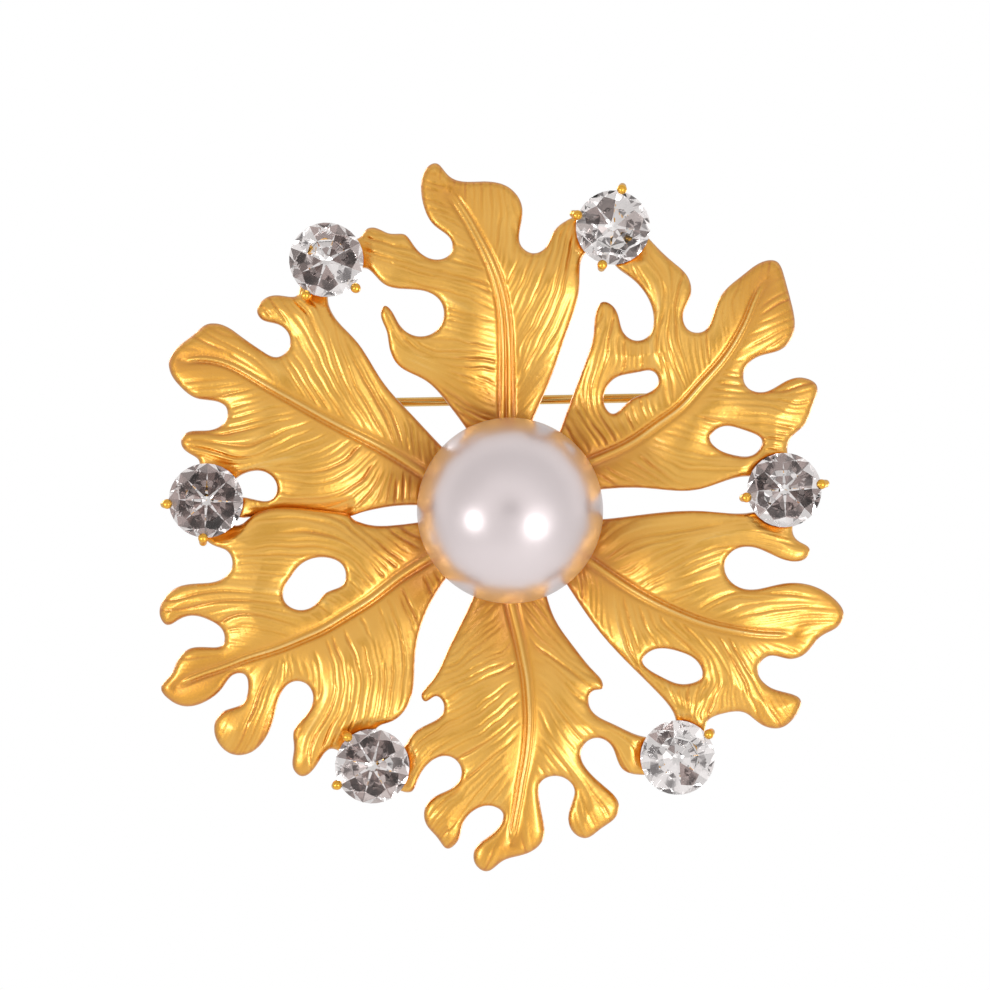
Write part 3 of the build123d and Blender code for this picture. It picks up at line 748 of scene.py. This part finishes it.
def make_leaf(name):
    """A cast leaf: the CAD shell remeshed, then its front carved with the midrib and veins."""
    spec = LEAVES[name]
    seed = 11 + 7 * list(LEAVES).index(name)
    points, normals, faces = fine_mesh("leaf_" + name)
    plane = points[:, [0, 2]]
    depth = points[:, 1]
    r = np.linalg.norm(plane, axis=1)

    # How far through the shell each point lies, 0 at the back and 1 in front, with the pockets and bosses
    # under the settings taken into account
    centre_gap = np.full(len(points), 99.0)
    for centre, _ in STONES.values():
        centre_gap = np.minimum(centre_gap, np.linalg.norm(plane - centre, axis=1))
    pocket = POCKET_FLOOR + np.maximum(centre_gap - POCKET_R, 0) / TAB_SLOPE
    boss = BOSS_BACK + np.maximum(centre_gap - BOSS_R, 0) / TAB_SLOPE
    front = np.minimum(front_curve(r), pocket)
    back = np.minimum(back_curve(r), boss)
    share = np.clip((depth - back) / np.maximum(front - back, 0.2), 0, 1)
    share = np.where(normals[:, 1] > 0.55, 1.0, np.where(normals[:, 1] < -0.55, 0.0, share))

    # Along their seam the lower left leaf laps over the dipped edge of the upper left one
    seam = step_up(plane[:, 0], *SEAM_OUTER) * (1 - step_up(plane[:, 0], *SEAM_INNER))
    lap = np.zeros(len(points))
    dip = np.zeros(len(points))
    if name == "lower_left":
        lap = LAP * seam * step_up(plane[:, 1], -2.2, -0.8)
    if name == "upper_left":
        dip = DIP * seam * (1 - step_up(plane[:, 1], -0.3, 1.3))

    # How far each point is from the leaf's outline
    wall = np.abs(normals[:, 1]) < 0.45
    spots = np.unique(np.round(plane[wall] / 0.06).astype(int), axis=0) * 0.06
    tree = KDTree(len(spots))
    for i, spot in enumerate(spots):
        tree.insert((spot[0], spot[1], 0.0), i)
    tree.balance()
    edge_gap = np.array([tree.find((x, z, 0.0))[2] for x, z in plane])

    # The midrib, which runs on a little under the pearl, and the veins on each side of it
    root = np.array(spec["rib"][0])
    root_run = np.array(spec["rib"][1]) - root
    before_root = root - ROOT_RUN * root_run / np.linalg.norm(root_run)
    rib = smooth_line([tuple(before_root)] + list(spec["rib"]), 0.5)
    rib_gap, rib_along, side = to_line(plane, rib)
    left = side > 0
    cut = np.zeros(len(points))
    puff = np.zeros(len(points))
    left_clear, right_clear = spec["clear"]
    for key, chosen, clear, shift in (("left", left, left_clear, 0), ("right", ~left, right_clear, 3)):
        cut[chosen], puff[chosen] = vein_grooves(
            plane[chosen], spec[key], rib_gap[chosen], clear, seed + shift
        )

    # The rib is a ridge between two grooves, or a pair of ridges, and thins out towards the tip
    width = spec["rib_w"] * (1.05 - 0.55 * rib_along)
    tip = 1 - step_up(rib_along, 0.93, 1.0)
    cut = cut * step_up(rib_gap, 1.6 * width, 1.6 * width + 0.5)
    soft = np.maximum(0.42 * width, 0.13)
    if spec.get("twin"):
        ridge = tip * np.exp(-((rib_gap - 0.75 * width) / soft) ** 2)
        groove = tip * (0.8 * np.exp(-(rib_gap / soft) ** 2) + np.exp(-((rib_gap - 1.6 * width) / soft) ** 2))
    else:
        ridge = tip * np.exp(-(rib_gap / (1.3 * soft)) ** 2)
        shaded = np.where(side * spec["shade"] > 0, 1.0, 0.45)
        groove = tip * shaded * np.exp(-((rib_gap - 1.35 * width) / soft) ** 2)

    # The skin bulges between midrib and edge, rolls back at the edge, and is plain under settings and pearl
    open_leaf = step_up(centre_gap, 3.0, 4.0) * step_up(r, 6.0, 8.0)
    half_width = rib_gap + edge_gap
    crown = 4 * rib_gap * edge_gap / np.maximum(half_width, 0.1) ** 2
    bulge = BULGE_H * crown * np.minimum(half_width / 5.0, 1.3)
    swell = SWELL_H * ripple(plane, 8.0, seed + 5)
    inwards = np.clip(edge_gap / EDGE_ROLL_W, 0, 1)
    roll = EDGE_ROLL_H * (1 - np.sqrt(np.clip(1 - (1 - inwards) ** 2, 0, 1)))

    seat = POCKET_FLOOR + SEAT_SLOPE * np.maximum(centre_gap - SEAT_R, 0)
    base = softer_min(front_curve(r), seat, 0.3)
    calm = 1 - 0.4 * step_up(r, *TIP_CALM)
    carved = calm * spec["vein"] * (0.05 * puff - VEIN_H * cut * step_up(edge_gap, 0.08, 0.6))
    new_front = base + open_leaf * (bulge + swell + RIDGE_H * ridge - GROOVE_H * groove + carved) - roll
    seat_back = POCKET_FLOOR - 0.9 + np.maximum(centre_gap - SEAT_R, 0)
    base_back = softer_min(back_curve(r), seat_back, 0.7)
    back_texture = 0.006 * ripple(plane, 1.7, seed + 9) + 0.35 * bulge + 0.6 * swell
    back_texture = back_texture + 0.14 * ridge - 0.04 * cut
    new_back = base_back + open_leaf * back_texture + 0.4 * roll
    new_back = np.minimum(new_back, new_front - LEAST_THICKNESS)
    new_depth = new_back + share * (new_front - new_back) - dip
    plane = plane + np.stack([np.zeros(len(points)), lap], 1)

    carved_points = np.stack([plane[:, 0], new_depth, plane[:, 1]], 1)
    carved_points = relax(carved_points, faces, 0.2 + 0.5 * (1 - step_up(edge_gap, 0.3, 0.6)), 5)
    carved_points = carved_points.tolist()
    piece = new_piece("gilt_leaf_" + name, carved_points, faces, "leaf_" + name, leaf_gold)

    # Painted light in the gold's colour: painted shade in grooves, along edges, near the pearl and at the
    # tips, painted highlight on ridges and on the swells between veins
    tone = 0.5 - 0.6 * cut * open_leaf - 0.2 * groove * open_leaf + 0.3 * ridge * open_leaf + 0.16 * puff
    tone = tone - 0.26 * (1 - step_up(r, 7.0, 14.0)) - 0.16 * step_up(r, 22.5, 28.0)
    # Painted shade beside the midrib
    tone = tone - 0.14 * np.exp(-rib_gap ** 2) * (1 - ridge)
    # Painted shade along the outline
    tone = tone - 0.3 * (1 - step_up(edge_gap, 0.05, 0.3))
    # Painted shade on the walls, and a plain middle value behind
    tone = np.where(share > 0.98, tone, np.where(share < 0.02, 0.4, 0.2))
    # Stored as the mesh attribute that the leaf gold reads as painted shade and highlight
    painted_shade_and_highlight = piece.data.attributes.new("painted_shade_and_highlight", "FLOAT", "POINT")
    painted_shade_and_highlight.data.foreach_set("value", np.clip(tone, 0, 1).astype(np.float32))


for leaf in LEAVES:
    make_leaf(leaf)


# ---------------------------------------------------------------- turned and drawn shapes
def lathe(profile, segments, base=(0.0, 0.0, 0.0)):
    """Points and faces of a turned shape. The profile is (radius, depth) points from axis to axis."""
    base_x, base_depth, base_z = base
    points, faces, rings = [], [], []
    for radius, depth in profile:
        if radius < 1e-6:
            rings.append([len(points)])
            points.append((base_x, base_depth + depth, base_z))
            continue
        ring = []
        for k in range(segments):
            angle = 2 * math.pi * k / segments
            ring.append(len(points))
            x = base_x + radius * math.cos(angle)
            z = base_z + radius * math.sin(angle)
            points.append((x, base_depth + depth, z))
        rings.append(ring)
    for low, high in zip(rings[:-1], rings[1:]):
        for k in range(segments):
            k2 = (k + 1) % segments
            face = [low[k % len(low)], low[k2 % len(low)], high[k2 % len(high)], high[k % len(high)]]
            faces.append(tuple(dict.fromkeys(face)))
    return points, faces


def tube(path, radii, segments=20):
    """Points and faces of a round bar along a path, closed at both ends."""
    path = [Vector(p) for p in path]
    points, faces = [], []
    side = Vector((0.31, 0.17, 0.93))
    for i, (spot, radius) in enumerate(zip(path, map(float, radii))):
        ahead = (path[min(i + 1, len(path) - 1)] - path[max(i - 1, 0)]).normalized()
        side = (side - ahead * side.dot(ahead)).normalized()
        up = ahead.cross(side)
        for k in range(segments):
            angle = 2 * math.pi * k / segments
            points.append(spot + radius * (math.cos(angle) * side + math.sin(angle) * up))
    for i in range(len(path) - 1):
        for k in range(segments):
            k2 = (k + 1) % segments
            a, b = i * segments, (i + 1) * segments
            faces.append((a + k, a + k2, b + k2, b + k))
    faces.append(tuple(reversed(range(segments))))
    faces.append(tuple(range((len(path) - 1) * segments, len(path) * segments)))
    return [tuple(p) for p in points], faces


def join(*shapes):
    """Several (points, faces) shapes as one."""
    points, faces = [], []
    for more_points, more_faces in shapes:
        start = len(points)
        points += more_points
        faces += [tuple(start + k for k in face) for face in more_faces]
    return points, faces


# ---------------------------------------------------------------- pearl and hub
def make_pearl():
    """A button pearl: most of a sphere, flat behind, drilled for the cup's peg and very slightly uneven."""
    profile = [(0.0, PEARL_HOLE_END), (PEARL_HOLE_R, PEARL_HOLE_END), (PEARL_HOLE_R, PEARL_BACK + 0.1)]
    profile.append((PEARL_HOLE_R + 0.1, PEARL_BACK))
    start = math.acos((PEARL_DEPTH - PEARL_BACK) / PEARL_R)
    rim_r = PEARL_R * math.sin(start)
    profile += [(rim_r - 1.5, PEARL_BACK), (rim_r - 0.15, PEARL_BACK)]
    for k in range(81):
        angle = start + 0.02 + (math.pi - start - 0.02) * k / 80
        profile.append((PEARL_R * math.sin(angle), PEARL_DEPTH - PEARL_R * math.cos(angle)))
    profile[-1] = (0.0, PEARL_DEPTH + PEARL_R)
    points, faces = lathe(profile, 160)
    points = np.array(points)
    skin = points - [0, PEARL_DEPTH, 0]
    outside = (np.linalg.norm(skin, axis=1) > PEARL_R - 0.01).astype(float)
    uneven = 0.012 * ripple(points[:, [0, 2]], 5.0, 3) + 0.008 * ripple(points[:, [1, 2]], 4.0, 4) - 0.02
    points = points + skin / PEARL_R * (outside * uneven)[:, None]
    new_piece("lustre_pearl", [tuple(p) for p in points], faces, "pearl", pearl_lustre)


make_pearl()


def make_hub():
    """The round plate behind the leaves: an eased rim, a turned recess and the head of the centre post."""
    profile = [
        (0, 0.0), (1.0, 0.0), (1.3, 0.05), (1.45, 0.16), (1.7, 0.22), (4.7, 0.22), (4.95, 0.16), (5.1, 0.03),
        (5.25, 0.0), (5.7, 0.0), (5.88, 0.04), (5.97, 0.13), (6.0, 0.28), (6.0, 1.1), (5.95, 1.2), (0, 1.2),
    ]
    points, faces = lathe(profile, 128)
    new_piece("turned_hub", points, faces, "hub_plate", finding_gold)


make_hub()


# ---------------------------------------------------------------- stones and their settings
def make_stone(name, lean, turn, dark_reflection_share):
    """A foiled chaton: a glass crown over a mirrored, lacquered pavilion, leaning a little as set by hand."""
    (x, z), _ = STONES[name]
    points = [(0.0, STONE_CULET, 0.0)]
    rings = {}

    def ring(label, count, radius, depth, shift=0.0):
        rings[label] = list(range(len(points), len(points) + count))
        for k in range(count):
            angle = 2 * math.pi * (k + shift) / count + math.radians(turn)
            points.append((radius * math.cos(angle), depth, radius * math.sin(angle)))

    ring("culet", 8, 0.38, STONE_CULET_RIM)
    ring("middle", 8, 1.8, 3.562, 0.5)
    ring("star", 8, 2.3, 4.06)
    rng = np.random.RandomState(len(name) * 7 + int(turn))
    for k in rings["middle"] + rings["star"]:
        points[k] = tuple(np.array(points[k]) + rng.uniform(-0.02, 0.02, 3))
    ring("back", 32, STONE_R, STONE_GIRDLE_BACK)
    ring("front", 32, STONE_R, STONE_GIRDLE_FRONT)
    ring("table", 8, 1.75, STONE_TABLE)

    # Eight sectors, each with eight foil facets behind and three glass ones in front
    foil, glass = [], []
    for k in range(8):
        k2 = (k + 1) % 8
        c, c2 = rings["culet"][k], rings["culet"][k2]
        m, m_last = rings["middle"][k], rings["middle"][k - 1]
        p, p2 = rings["star"][k], rings["star"][k2]
        g = [rings["back"][(4 * k + i) % 32] for i in range(5)]
        foil += [(0, c2, c), (c, c2, m), (c, m, p), (c, p, m_last)]
        foil += [(m, g[2], p), (m, p2, g[2]), (p, g[2], g[1], g[0]), (p2, g[4], g[3], g[2])]
        t, t2 = rings["table"][k], rings["table"][k2]
        f = [rings["front"][(4 * k + i) % 32] for i in range(-2, 5)]
        glass += [(t, f[0], f[1], f[2]), (t, f[2], f[3], f[4]), (t, f[4], t2)]
    glass += [tuple(rings["table"])]
    back, front = rings["back"], rings["front"]
    sides = [(back[k], back[k - 1], front[k - 1], front[k]) for k in range(32)]
    lacquer_profile = [
        (0, STONE_CULET - 0.12), (0.3, STONE_CULET - 0.04), (1.0, 2.8), (1.8, 3.4), (2.3, 3.88), (2.96, 4.54),
        (2.98, 4.6), (2.94, 4.61), (2.3, 3.94), (1.8, 3.46), (1.0, 2.86), (0.3, STONE_CULET + 0.01),
        (0, STONE_CULET - 0.06),
    ]
    lacquer, lacquer_faces = lathe(lacquer_profile, 48)
    start = len(points)
    points += lacquer
    backing = [tuple(start + k for k in face) for face in lacquer_faces]

    centre = Vector((0.0, STONE_PIVOT, 0.0))
    towards = Vector((lean[0], 1.0, lean[1])).normalized()
    spin = Vector((0.0, 1.0, 0.0)).rotation_difference(towards)
    placed = []
    for point in points:
        p = centre + spin @ (Vector(point) - centre)
        placed.append((x + p.x, p.y, z + p.z))
    faces = foil + glass + sides + backing
    piece = new_piece(
        "chaton_" + name, placed, faces, "stone_" + name, crystal_glass, smooth=False
    )
    piece.data.materials.append(crystal_foil)
    piece.data.materials.append(setting_gold)

    # Each foil facet's tone: the two long ones of some sectors are painted dark, as painted reflection
    count = len(piece.data.polygons)
    kind = np.arange(count) % 8
    # Painted reflection: the sectors whose two long facets are painted dark
    painted_dark_reflection = ((kind == 2) | (kind == 3)) & np.repeat(rng.uniform(0, 1, count // 4 + 1) < dark_reflection_share, 4)[:count]
    tones = np.where(kind > 5, rng.choice([0.65, 0.95], count), 0.95)
    tones = np.where(painted_dark_reflection, rng.choice([0.14, 0.24, 0.4], count, p=[0.4, 0.35, 0.25]), tones)
    facet = piece.data.attributes.new("facet", "FLOAT", "FACE")
    facet.data.foreach_set("value", tones.astype(np.float32))
    for k, face in enumerate(piece.data.polygons):
        face.material_index = 1 if k < len(foil) else 0
        if k >= len(foil) + len(glass) + len(sides):
            face.material_index = 2
            face.use_smooth = True


# How each stone leans and turns, its share of foil facets painted dark as painted reflection, and its claws
# as (angle, radius of the tip)
SETTINGS = {
    "top_left": ((0.02, 0.01), 4.0, 0.75, [(-44, 3.3), (-120, 3.3), (45, 2.95), (155, 2.95)]),
    "top_right": ((0.0, -0.11), 16.0, 0.4, [(77, 3.15), (161, 3.05), (-106, 3.15), (-15, 2.95)]),
    "right": ((-0.05, -0.03), 70.0, 0.65, [(9, 3.02), (191, 3.12), (98, 2.95), (-78, 2.95)]),
    "bottom_right": ((0.01, 0.07), 30.0, 0.5, [(37, 3.15), (118, 2.95), (-150, 2.95), (-55, 2.95)]),
    "bottom_left": ((0.0, 0.02), 8.0, 0.95, [(130, 3.1), (-152, 3.2), (22, 2.95), (-65, 2.95)]),
    "left": ((0.0, 0.01), 20.0, 1.0, [(-175, 3.12), (-94, 3.05), (101, 2.95), (5, 2.95)]),
}


def make_cup(name):
    """A small turned dish with four cast claws, whose tips are beads, or end under the stone if hidden."""
    (x, z), _ = STONES[name]
    claws = SETTINGS[name][3]
    dish_profile = [
        (0, 0.0), (1.35, 0.0), (1.55, 0.1), (1.62, 0.3), (1.85, 0.8), (2.12, 1.22), (2.25, 1.42),
        (2.24, 1.52), (2.12, 1.54), (1.75, 1.27), (1.05, 0.68), (0.5, 0.34), (0, 0.3),
    ]
    shapes = [lathe(dish_profile, 64, (x, CUP_DEPTH, z))]
    for angle, reach in claws:
        way = Vector((math.cos(math.radians(angle)), 0.0, math.sin(math.radians(angle))))
        route = [
            (1.35, 0.15), (1.8, 0.42), (2.35, 0.95), (2.85, 1.6), (3.2, 2.2), (3.38, 2.62),
            (reach + 0.06, 2.95), (reach, 3.2), (reach - 0.04, 3.36), (reach - 0.06, 3.48),
            (reach - 0.07, 3.56), (reach - 0.08, 3.6),
        ]
        radii = [0.34, 0.36, 0.36, 0.34, 0.32, 0.31, 0.37, 0.41, 0.39, 0.3, 0.18, 0.05]
        if reach < HIDDEN_CLAW_R:
            route = [
                (1.35, 0.15), (1.8, 0.42), (2.25, 0.95), (2.5, 1.45), (2.62, 1.8), (2.66, 1.95), (2.68, 2.02),
            ]
            radii = [0.34, 0.36, 0.36, 0.36, 0.3, 0.2, 0.06]
        line = smooth_line([(x + way.x * out, CUP_DEPTH + up, z + way.z * out) for out, up in route], 0.12)
        run = np.concatenate([[0], np.cumsum(np.linalg.norm(np.diff(np.array(route), axis=0), axis=1))])
        widths = np.interp(np.linspace(0, run[-1], len(line)), run, radii)
        shapes.append(tube([tuple(p) for p in line], list(widths), 20))
    points, faces = join(*shapes)
    new_piece("claw_setting_" + name, points, faces, "cup_" + name, setting_gold)


for stone, (lean, turn, dark_reflection_share, _) in SETTINGS.items():
    make_stone(stone, lean, turn, dark_reflection_share)
    make_cup(stone)


# ---------------------------------------------------------------- carried-over fittings
def keep_node(node, material, width):
    """A CAD node that stays, with its edges eased and a material of its own."""
    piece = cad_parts[node]
    piece.data.materials.clear()
    piece.data.materials.append(material)
    ease = piece.modifiers.new("eased_edges", "BEVEL")
    ease.width = width * MM
    ease.segments = 2
    ease.limit_method = "ANGLE"


for fitting in ("pearl_cup", "hinge_bracket", "hinge_rivet", "catch_housing", "catch_barrel"):
    keep_node(fitting, finding_gold, 0.08)
keep_node("pin_stem", wire_gold, 0.03)
